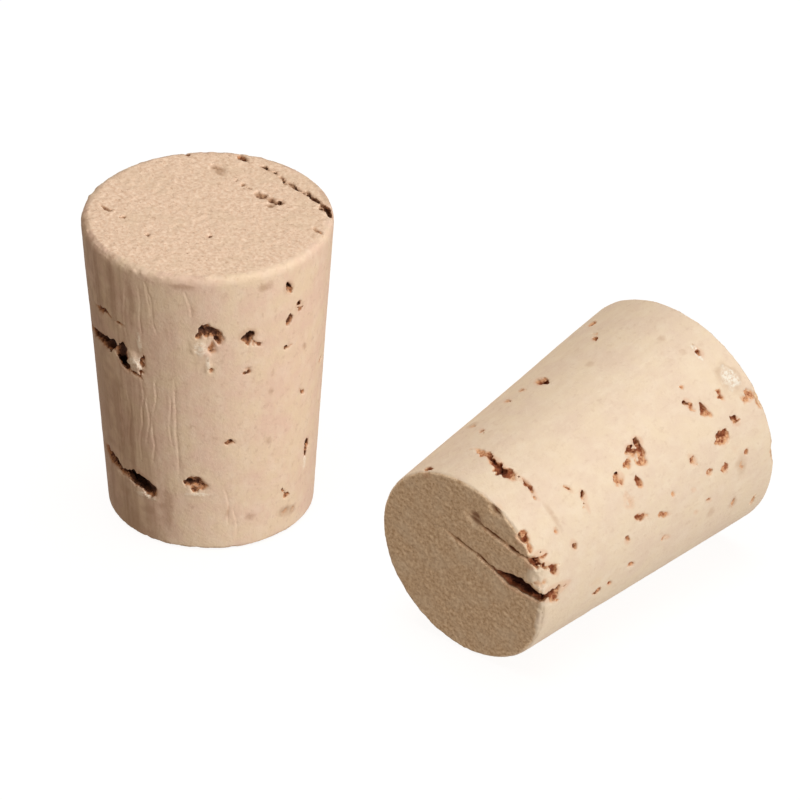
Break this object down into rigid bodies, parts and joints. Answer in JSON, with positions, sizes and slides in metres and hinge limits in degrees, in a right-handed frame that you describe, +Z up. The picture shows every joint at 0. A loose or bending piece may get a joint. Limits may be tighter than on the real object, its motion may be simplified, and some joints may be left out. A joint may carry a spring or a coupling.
{
  "type": "tapered cork stoppers",
  "caption": "Tapered natural cork stoppers of the kind that close the filling hole of a salt or pepper shaker, one standing and one on its side.",
  "frame": {"origin": "centre of the standing stopper's narrow end, on the surface that both stoppers rest on", "axes": "+Z up along the standing stopper's axis, from its narrow end to its wide end; the lying stopper is at +X and -Y, with its narrow end towards -Y"},
  "size_m": [0.0692, 0.0486, 0.0332],
  "materials": {
    "natural_cork": "matte"
  },
  "bodies": {
    "lying_stopper": {"lying_stopper": "natural_cork"},
    "upright_stopper": {"upright_stopper": "natural_cork"}
  },
  "joints": [
    {"name": "upright_stopper_lift", "type": "slide", "parent": "lying_stopper", "child": "upright_stopper", "axis": [0, 0, 1], "range_m": [0, 0.04]}
  ]
}
